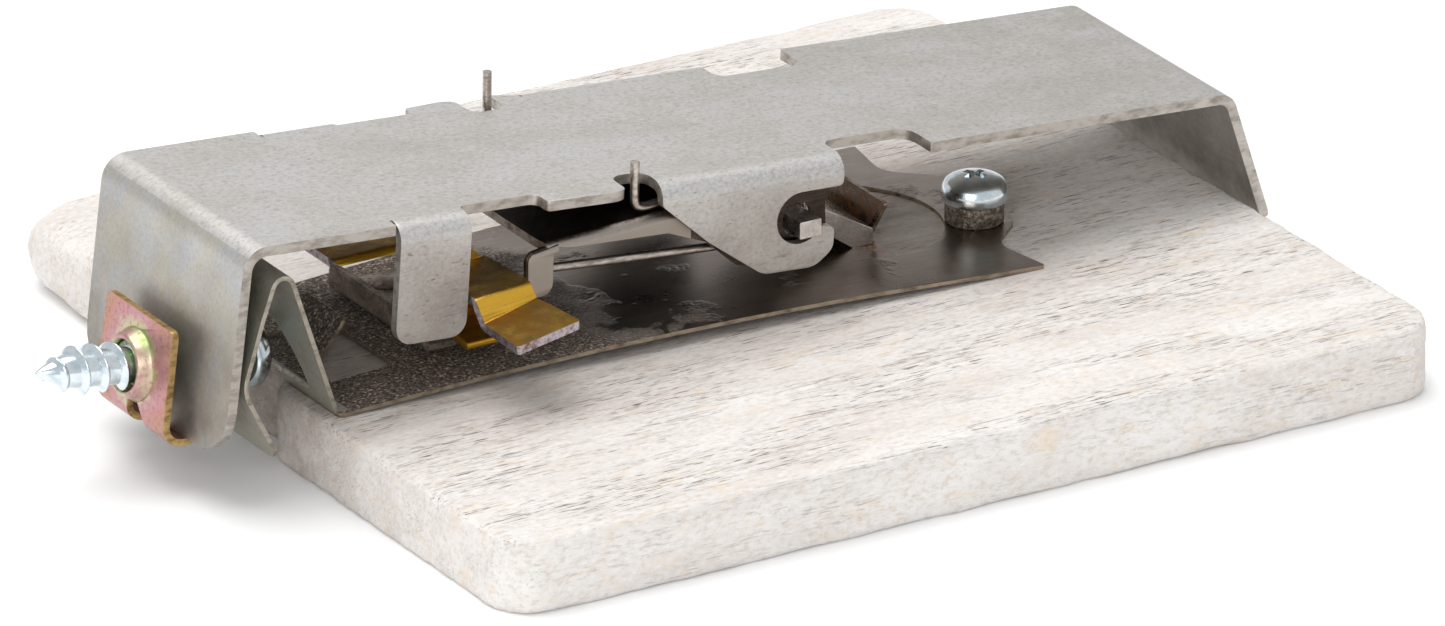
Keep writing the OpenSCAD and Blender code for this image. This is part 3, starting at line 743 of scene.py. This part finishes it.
def turned(profile, steps=64):
    """A lathe-turned piece: a profile of (radius, height) points spun round the Z axis."""
    bm = bmesh.new()
    verts = [bm.verts.new((radius, 0, height)) for radius, height in profile]
    edges = [bm.edges.new(pair) for pair in zip(verts, verts[1:])]
    bmesh.ops.spin(bm, geom=verts + edges, cent=(0, 0, 0), axis=(0, 0, 1), dvec=(0, 0, 0),
                   angle=2 * math.pi, steps=steps, use_merge=True)
    bmesh.ops.remove_doubles(bm, verts=bm.verts[:], dist=1e-4)
    bmesh.ops.recalc_face_normals(bm, faces=bm.faces[:])
    return bm


def pan_head(radius, deep):
    """Profile of a pan head, from its crown down to its bearing face."""
    crown = [(radius * 0.98 * math.sin(a), deep - 1.3 * (1 - math.cos(a)) * deep / 2.5)
             for a in (math.radians(8 * k) for k in range(9))]
    return [(0, deep), *crown[1:], (radius, deep * 0.42), (radius, deep * 0.16), (radius * 0.97, 0)]


def carve(piece, cutter):
    """Cuts one piece with another, which is then thrown away."""
    knife = piece.modifiers.new("knife", "BOOLEAN")
    knife.object, knife.operation, knife.solver = cutter, "DIFFERENCE", "EXACT"
    settled(piece)
    bpy.data.objects.remove(cutter)
    return piece


def recess_wing(height, size, deep, turn):
    """Cutter for one wing of a driver's cross recess: a wedge, narrow at the bottom."""
    bm = bmesh.new()
    bmesh.ops.create_cube(bm, size=1)
    for vert in bm.verts:
        taper = 1 if vert.co.z > 0 else 0.35
        vert.co = (vert.co.x * size * taper, vert.co.y * 0.95 * max(taper, 0.6), vert.co.z * 2 * deep)
    bm.transform(Matrix.Translation((0, 0, height)) @ Matrix.Rotation(turn, 4, "Z"))
    return bm


zinc_finish = blue_zinc()
SCREW_AT = Vector((26.2, -4.4, BOARD_T + PLATE_T))


def make_hold_down_screw():
    profile = pan_head(3.3, 2.6)
    bm = turned([(r, h + 2.32) for r, h in profile] + [(1.6, 2.32), (1.6, -5.4), (0.2, -6.4), (0, -6.5)])
    bm.transform(Matrix.Translation(SCREW_AT))
    screw = linked("hold_down_screw", bm, zinc_finish)
    for turn in (0.35, 0.35 + math.pi / 2):
        wing = recess_wing(4.95, 3.9, 1.1, turn)
        wing.transform(Matrix.Translation(SCREW_AT))
        carve(screw, linked("wing", wing, zinc_finish))
    fitted(soften(screw, 0.06), "base", "zinc_screw", "hold_down_screw")
    ring = [(1.66, 0.02), (2.75, 0.02), (2.9, 0.2), (2.9, 2.1), (2.78, 2.28), (1.66, 2.28), (1.66, 0.02)]
    bm = turned(ring)
    bm.transform(Matrix.Translation(SCREW_AT))
    fitted(linked("spacer_collar", bm, grimy_steel()), "base", "dirty_steel", "spacer_collar")


make_hold_down_screw()


# ---- Clamp screw ----
# A blue-white zinc plated sheet metal screw: a domed pan head inside the hairpin, a coarse
# rolled thread through the wall and the clip nut, and a sharp point that stands out behind.
wall_place = jaw_place @ Matrix.Translation((-61.6, 0, 6.33)) @ Matrix.Rotation(WALL_LEAN, 4, "Y")
screw_place = wall_place @ Matrix.Translation((0, 0, -16)) @ Matrix.Rotation(math.radians(-90), 4, "Y")


def thread(bm, low, high, pitch, root, crest, point):
    """Winds a sharp thread round the Z axis, and draws it down to nothing at the point."""
    section = [(root - 0.15, -0.62), (root, -0.5), (crest - 0.1, -0.09), (crest, 0), (crest - 0.1, 0.09),
               (root, 0.5), (root - 0.15, 0.62)]
    verts = [bm.verts.new((radius, 0, low + height)) for radius, height in section]
    edges = [bm.edges.new(pair) for pair in zip(verts, verts[1:])]
    turns = (high - low) / pitch
    steps = round(turns * 40)
    old = set(bm.verts) - set(verts)
    bmesh.ops.spin(bm, geom=verts + edges, cent=(0, 0, 0), axis=(0, 0, 1), dvec=(0, 0, pitch / 40),
                   angle=turns * 2 * math.pi, steps=steps)
    for vert in set(bm.verts) - old:
        left = (point - vert.co.z) / 4.4
        if left < 1:
            size = max(0.12, 1 - (1 - max(left, 0)) ** 1.6)
            vert.co.xy = vert.co.xy * size


def make_clamp_screw():
    head = [(r, -10.1 - 1.0 * h / 2.6) for r, h in pan_head(3.3, 2.6)[:-3]]
    profile = head + [(3.3, -10.4), (3.3, -9.1), (3.1, -8.9), (1.8, -8.9), (1.75, -8.6), (1.75, 9.3),
                      (1.55, 10.2),
                      (1.15, 11.4), (0.62, 12.5), (0.2, 13.15), (0, 13.3)]
    bm = turned(profile)
    thread(bm, -7.6, 12.3, 2.1, 1.72, 2.4, 13.3)
    bmesh.ops.recalc_face_normals(bm, faces=bm.faces[:])
    bm.transform(screw_place)
    fitted(linked("clamp_screw", bm, zinc_finish), "jaw", "zinc_screw", "clamp_screw")


make_clamp_screw()


# ---- Clip-on nut ----
# A folded sheet clip that hooks under the wall's bottom edge, with a flared collar that takes
# the clamp screw. Its chromate coat is pink, turning green and yellow round the collar.
def iridescent_chromate():
    chrome = Finish("iridescent_chromate")
    centre = screw_place.translation * MM
    away = chrome.add("VectorMath", {0: chrome.place, 1: centre}, operation="DISTANCE").outputs["Value"]
    swirl = chrome.sum("ADD", away, chrome.sum("MULTIPLY", chrome.noise(2.4, detail=3, warp=0.6), 3.2 * MM))
    colour = chrome.ramp(chrome.sum("DIVIDE", swirl, 11 * MM), (0.30, rgb(150, 160, 70)),
                         (0.42, rgb(222, 220, 150)), (0.49, rgb(130, 170, 92)), (0.56, rgb(196, 184, 154)),
                         (0.63, rgb(190, 140, 146)), (0.78, rgb(186, 136, 122)), (0.95, rgb(176, 140, 118)))
    dirt = chrome.noise(0.5, detail=5, rough=0.7)
    colour = chrome.mix(chrome.ramp(dirt, (0.34, 0.5), (0.48, 0)), colour, rgb(120, 84, 74))
    relief = chrome.bump(dirt, 0.025, 0.5)
    return chrome.done(Base_Color=colour, Metallic=0.85, Roughness=chrome.ramp(dirt, (0.3, 0.45), (0.6, 0.3)),
                       Normal=relief)


def make_clip_nut():
    clip = iridescent_chromate()
    rim = cut_edge("clip_cut_edge", rgb(206, 174, 118), rgb(128, 96, 60), 0.4)
    line = rounded((-2.15, -10.7), (-2.15, -21.85, 1.8), (1.5, -21.85, 1.8), (1.5, -18.6), steps=6)
    turn = 21.85 - 10.7
    end = sum((b - a).length for a, b in zip(line, line[1:]))
    outline = rounded((0, -6.3, 0.7), (end, -6.3, 0.8), (end, -2.3, 0.8), (turn - 1.2, -2.3, 1.4),
                      (turn - 2.7, -0.9, 1.2), (turn - 2.7, 0.5, 0.8), (turn - 0.6, 0.9, 0.8),
                      (end, 0.9, 0.8),
                      (end, 6.3, 0.8), (0, 6.3, 0.7))
    bm = blank(outline, arc(5.3, 0, 3.4, 0, 352.5, 47))
    follow(bm, line)
    nut = of_sheet("clip_on_nut", bm, 0.7, clip, rim, soft=0.1, place=wall_place)
    ring = [(2.5, 2.1), (3.45, 2.1), (3.68, 2.4), (3.5, 2.7), (3.3, 3.0), (3.1, 3.75), (2.95, 3.9),
            (2.65, 3.9), (2.5, 3.75), (2.5, 2.1)]
    bm = turned(ring)
    bm.transform(screw_place)
    fitted(joined(nut, linked("collar", bm, clip)), "jaw", "chromate_clip", "clip_on_nut")


make_clip_nut()


# ---- Latch lever ----
# A channel-shaped lever of spring steel on the same bar, under the big channel, painted dark as shade, with
# its flange sides painted lighter as lit faces: a flat web with a low flange a side, two deep cheeks and, at
# its far end, two rounded hook tabs.
def shaded_lever_steel():
    dark = Finish("shaded_lever_steel")
    stain = dark.noise(6, 4, 4, detail=5, warp=0.4)
    # painted shade: these dark stain tones stand for the shade under the big channel
    colour = dark.ramp(stain, (0.3, rgb(52, 43, 38)), (0.55, rgb(74, 64, 58)), (0.72, rgb(100, 88, 80)))
    drawn = dark.noise(7, 0.14, 0.14, detail=3)
    colour = dark.mix(dark.ramp(drawn, (0.42, 0.4), (0.6, 0)), colour, rgb(38, 31, 28))
    # painted light: the flange sides are painted paler as lit faces beside the shaded web
    outside = dark.sum("GREATER_THAN", dark.sum("ABSOLUTE", dark.axis("Y")), 12.1 * MM)
    lit_flange = dark.sum("MULTIPLY", outside, dark.sum("LESS_THAN", dark.axis("X"), -11 * MM))
    pale = dark.noise(0.4, detail=5, rough=0.7)
    colour = dark.mix(dark.sum("MULTIPLY", dark.attribute("worn"), dark.ramp(pale, (0.4, 0.3), (0.6, 1))),
                      colour, rgb(188, 178, 168))
    colour = dark.mix(dark.sum("MULTIPLY", lit_flange, 0.85), colour, rgb(166, 157, 148))
    relief = dark.bump(pale, 0.04, 0.6, dark.bump(drawn, 0.012, 0.5))
    return dark.done(Base_Color=colour, Metallic=1.0, Roughness=dark.ramp(stain, (0.3, 0.42), (0.7, 0.3)),
                     Normal=relief)


def make_latch_lever():
    steel = shaded_lever_steel()
    rim = cut_edge("lever_cut_edge", rgb(178, 168, 158), rgb(112, 100, 90), 0.42)
    lean = math.atan(0.0385)
    place = Matrix.Translation((4, 0, 20.45)) @ Matrix.Rotation(-lean, 4, "Y")
    side = [(-31.0, 10.2, 0.8), (-30.8, 12.1, 0.2), (-17.6, 13.6, 0.4), (-13.4, 15.6, 1.5),
            (-10.2, 18.8, 1.5),
            (-5.4, 20.5, 2.5), (-1.4, 20.3, 2.2), (-0.1, 18.9, 1.4), (-0.1, 12.6, 0.3)]
    outline = rounded(*[(x, -out, r) for x, out, r in side], *[(x, out, r) for x, out, r in reversed(side)])
    bar = [arc(-3.2, y, 1.75, 0, 345, 23) for y in (-15.87, 15.87)]
    holes = [arc(-15.6, -10.4, 0.95, 0, 330, 11), arc(-18.6, 10.4, 0.95, 0, 330, 11)]
    bm = blank(outline, *bar, *holes)
    for hand in (-1, 1):
        fold(bm, (0, hand * 11.65, 0), (0, hand, 0), -math.pi / 2, 0.5, lambda co: co.y * hand > 11.64)
    lever = of_sheet("latch_lever", bm, 0.9, steel, rim, soft=0.1, place=place)
    tab = rounded((-29, 19.0, 0.9), (-29, 14.6, 1.2), (-26.3, 14.6, 1.2), (-26.2, 18.6, 0.3), (-25.6, 18.9),
                  (-25.6, 19.5))
    tabs = [slab("tab", tab, "XZ", low, low + 0.9, rim, 0.25) for low in (-12.6, 11.7)]
    fitted(joined(lever, *tabs), "latch", "spring_steel", "latch_lever")


make_latch_lever()


# ---- Wire springs ----
# Two springs of thin round wire, one a side: a coil on the bar, one leg under the lever's
# hook tab and one leg whose bent-up end stands out through the channel's slot.
def drawn_wire():
    steel = Finish("drawn_wire")
    worn = steel.noise(1.3, 0.4, 0.4, detail=4)
    colour = steel.ramp(worn, (0.35, rgb(150, 140, 130)), (0.6, rgb(206, 198, 190)))
    relief = steel.bump(steel.noise(0.3, detail=3), 0.02, 0.6)
    return steel.done(Base_Color=colour, Metallic=1.0, Roughness=steel.ramp(worn, (0.3, 0.42), (0.7, 0.26)),
                      Normal=relief)


def wire(name, points, thick, material):
    """Round wire along a smooth line through the given points, with cut ends."""
    path = bpy.data.curves.new(name, "CURVE")
    path.dimensions, path.resolution_u = "3D", 8
    path.bevel_depth, path.bevel_resolution, path.use_fill_caps = thick / 2 * MM, 5, True
    spline = path.splines.new("NURBS")
    spline.points.add(len(points) - 1)
    for spot, point in zip(spline.points, points):
        spot.co = (*(Vector(point) * MM), 1)
    spline.use_endpoint_u, spline.order_u = True, 3
    drawn = bpy.data.objects.new(name, path)
    scene.collection.objects.link(drawn)
    shown = drawn.evaluated_get(bpy.context.evaluated_depsgraph_get())
    mesh = bpy.data.meshes.new_from_object(shown)
    bpy.data.objects.remove(drawn)
    mesh.materials.clear()
    mesh.materials.append(material)
    for face in mesh.polygons:
        face.use_smooth = True
    piece = bpy.data.objects.new(name, mesh)
    scene.collection.objects.link(piece)
    return soften(piece, 0.08)


wire_finish = drawn_wire()


def make_wire_spring(name, hand, prong_x, prong_top):
    coil = [(PIVOT.x + 2.08 * math.cos(a), hand * (9.55 + 1.3 * a / (4 * math.pi)),
             PIVOT.z + 2.08 * math.sin(a))
            for a in (math.radians(90 + 20 * k) for k in range(28))]
    out = hand * 11.1
    leg = [(-1.5, coil[-1][1], 14.2), (-24.8, out, 16.55), (-25.8, out, 16.7), (-26.8, out, 16.65),
           (-27.8, out, 16.6)]
    side = hand * 11.2
    across = [(prong_x, side, prong_top), (prong_x - 0.05, side, 22.4), (prong_x, side, 21.1),
              (prong_x + 0.9, side, 20.7), (prong_x + 2.6, hand * 11.0, 20.75),
              (prong_x + 4.4, hand * 10.6, 20.75),
              (prong_x + 5.4, hand * 10.2, 19.4), (prong_x + 7.5, hand * 9.8, 18.8), (-1.5, hand * 9.4, 18.5)]
    fitted(wire(name, across + coil + leg, 0.9, wire_finish), "latch", "bright_steel", name)


make_wire_spring("near_wire_spring", -1, -16.4, 25.6)
make_wire_spring("far_wire_spring", 1, -19.4, 27.6)


# ---- Trigger ----
# The bait pedal: one strip of yellow chromate plated steel, folded into two steps, a riser cut
# to a slope and a wing under the channel. It rocks on a pin through its knuckle.
def yellow_chromate():
    gold = Finish("yellow_chromate")
    film = gold.noise(3.6, 2.6, 2.6, detail=4, warp=0.5)
    colour = gold.ramp(film, (0.3, rgb(112, 88, 44)), (0.5, rgb(156, 122, 54)), (0.68, rgb(196, 154, 66)))
    dull = gold.ramp(gold.noise(0.5, detail=5, rough=0.7), (0.38, 0.55), (0.52, 0))
    colour = gold.mix(dull, colour, rgb(112, 92, 56))
    # the riser's sloped faces, picked by their normals, get painted light as brighter gold; lines are drawn
    # across it by the forming die
    tilt = gold.add("SeparateXYZ", {"Vector": gold.add("TexCoord").outputs["Normal"]}).outputs["Z"]
    lit_slope = gold.ramp(gold.sum("ABSOLUTE", tilt), (0.82, 1), (0.95, 0))
    colour = gold.mix(gold.sum("MULTIPLY", lit_slope, 0.75), colour, rgb(240, 188, 62))
    step = gold.add("MapRange", {"Value": gold.axis("Z"), "From Min": 16.5 * MM, "From Max": 15.3 * MM})
    lines = gold.ramp(gold.noise(7, 7, 0.16, detail=2), (0.42, 0), (0.6, 0.7))
    colour = gold.mix(gold.sum("MULTIPLY", lines, step.outputs["Result"]), colour, rgb(150, 96, 30))
    grime = gold.attribute("worn")
    relief = gold.bump(gold.noise(0.3, detail=4), 0.03, 0.6, gold.bump(lines, 0.03, 0.4))
    rough = gold.mix(grime, gold.ramp(film, (0.3, 0.46), (0.7, 0.34)), (0.24, 0.24, 0.24, 1))
    return gold.done(Base_Color=colour, Metallic=0.9, Roughness=rough, Normal=relief)


def burred_edge():
    burr = Finish("burred_edge")
    marks = burr.noise(0.7, detail=5, rough=0.7)
    colour = burr.ramp(marks, (0.34, rgb(116, 84, 62)), (0.46, rgb(160, 146, 152)),
                       (0.56, rgb(192, 190, 198)),
                       (0.68, rgb(188, 140, 128)))
    relief = burr.bump(burr.noise(0.45, detail=4), 0.12, 0.9)
    return burr.done(Base_Color=colour, Metallic=0.9, Roughness=0.32, Normal=relief)


def make_trigger():
    gold, burr = yellow_chromate(), burred_edge()
    # flat strip at the upper step's level: near edge, two steps, riser, wing
    outline = rounded((-36.0, -23.6, 0.3), (-28.3, -22.0, 0.4), (-29.0, -17.0, 0.8), (-29.5, -14.6),
                      (-29.5, -13.0, 0.4),
                      (-29.9, -6.4, 0.3), (-32.2, -3.9, 0.5), (-33.6, -2.4, 1.2), (-33.6, 4.8, 0.8),
                      (-46.4, 4.8, 0.8), (-46.4, -3.6, 0.8), (-36.4, -3.6, 0.5), (-36.2, -13.6))
    bm = blank(outline)
    slope = math.radians(44)
    # the folds run a little askew, as the pedal was bent by hand tools
    fold(bm, (-36, -16.85, 0), (0.27, -0.963, 0), slope, 0.8, lambda co: co.y < -12)
    fold(bm, (-36, -14.3, 0), (0.17, -0.985, 0), -slope, 0.7, lambda co: co.y < -12)
    fold(bm, (-36, -3.8, 0), (0, 1, 0), -math.radians(86), 0.6, lambda co: co.y > -5)
    fold(bm, (-36, -6.4, 0), (0, 1, 0), math.radians(86), 0.5, lambda co: co.y > -7 and co.x < -29)
    trigger = of_sheet("trigger_treadle", bm, 0.85, gold, burr, soft=0.12,
                       place=Matrix.Translation((0, 0, 16.62)))
    knuckle = turned([(0.86, -36), (1.5, -36), (1.6, -35.9), (1.6, -29.4), (1.5, -29.3), (0.86, -29.3),
                      (0.86, -36)])
    knuckle.transform(Matrix.Translation((0, -4.4, 12)) @ Matrix.Rotation(math.pi / 2, 4, "Y"))
    web = rounded((-5.9, 16.4), (-6.3, 12.2, 1.2), (-4.4, 12.9), (-4.4, 13.6), (-5.3, 13.4, 0.6),
                  (-5.1, 16.4))
    lip = rounded((-5.6, 11.2), (-6.5, 11.3, 0.5), (-12.4, 10.7, 0.3), (-12.5, 11.5, 0.3), (-6.6, 12.2, 0.5),
                  (-5.6, 12.4))
    parts = [linked("knuckle", knuckle, gold), slab("web", web, "YZ", -35.4, -30.2, gold),
             slab("lip", lip, "YZ", -35.6, -30.0, gold)]
    fitted(joined(trigger, *parts), "trigger", "yellow_chromate", "trigger_treadle")


make_trigger()


# ---- Trigger bracket ----
# A small folded bracket riveted to the plate: a foot, a low wall and two ears that hold the
# trigger's pin. All of it is brown with dust and old bait.
def dusty_steel():
    dusty = Finish("dusty_steel")
    cloud = dusty.noise(2.5, detail=5, warp=0.4)
    colour = dusty.ramp(cloud, (0.3, rgb(92, 80, 70)), (0.5, rgb(126, 112, 98)), (0.7, rgb(158, 144, 128)))
    specks = dusty.ramp(dusty.noise(0.4, detail=4, rough=0.75), (0.36, 1), (0.48, 0))
    colour = dusty.mix(specks, colour, rgb(62, 50, 42))
    return dusty.done(Base_Color=colour, Metallic=0.5, Roughness=dusty.ramp(cloud, (0.3, 0.62), (0.7, 0.46)),
                      Normal=dusty.bump(specks, 0.08, 0.7))


dusty_finish = dusty_steel()


def make_trigger_bracket():
    outline = rounded((-28.9, -7.6, 0.8), (-28.9, -6.5, 0.3), (-28.9, -6.2, 0.1), (-24.6, -6.2, 1.2),
                      (-24.6, -2.6, 1.2), (-28.9, -2.6, 0.1), (-28.9, 10.2, 0.8), (-39.6, 10.2, 0.9),
                      (-39.6, -2.6, 0.4), (-41.3, -3.0, 1.0), (-41.3, -5.8, 1.0), (-39.6, -6.2, 0.4),
                      (-39.6, -7.6, 0.9))
    holes = [arc(x, -4.4, 0.86, 0, 330, 11) for x in (-39.61, -26.29)]
    bm = blank(outline, *holes)
    fold(bm, (-36.9, 0, 0), (-1, 0, 0), math.pi / 2, 0.4, lambda co: co.x < -36)
    fold(bm, (-29.0, 0, 0), (1, 0, 0), math.pi / 2, 0.4, lambda co: co.x > -29.01 and -6.3 < co.y < -2.5)
    bracket = of_sheet("trigger_bracket", bm, 0.6, dusty_finish, soft=0.1,
                       place=Matrix.Translation((0, 0, 9.53)))
    fitted(bracket, "base", "dirty_steel", "trigger_bracket")
    rivets = []
    for y in (1.6, 7.4):
        dome = turned([(0, 1.2), (0.6, 1.16), (1.1, 1.02), (1.45, 0.8), (1.6, 0.62), (1.0, 0.61), (1.0, 0),
                       (0, 0)])
        dome.transform(Matrix.Translation((-33, y, 9.22)))
        rivets.append(linked("rivets", dome, dusty_finish))
    fitted(joined(*rivets), "base", "dirty_steel", "bracket_rivets")
    pin = turned([(0, 0), (0.6, 0), (0.8, 0.2), (0.8, 9.8), (0.6, 10), (0, 10)])
    pin.transform(Matrix.Translation((-38, -4.4, 12)) @ Matrix.Rotation(math.pi / 2, 4, "Y"))
    fitted(linked("trigger_pin", pin, dusty_finish), "base", "dirty_steel", "trigger_pin")


make_trigger_bracket()
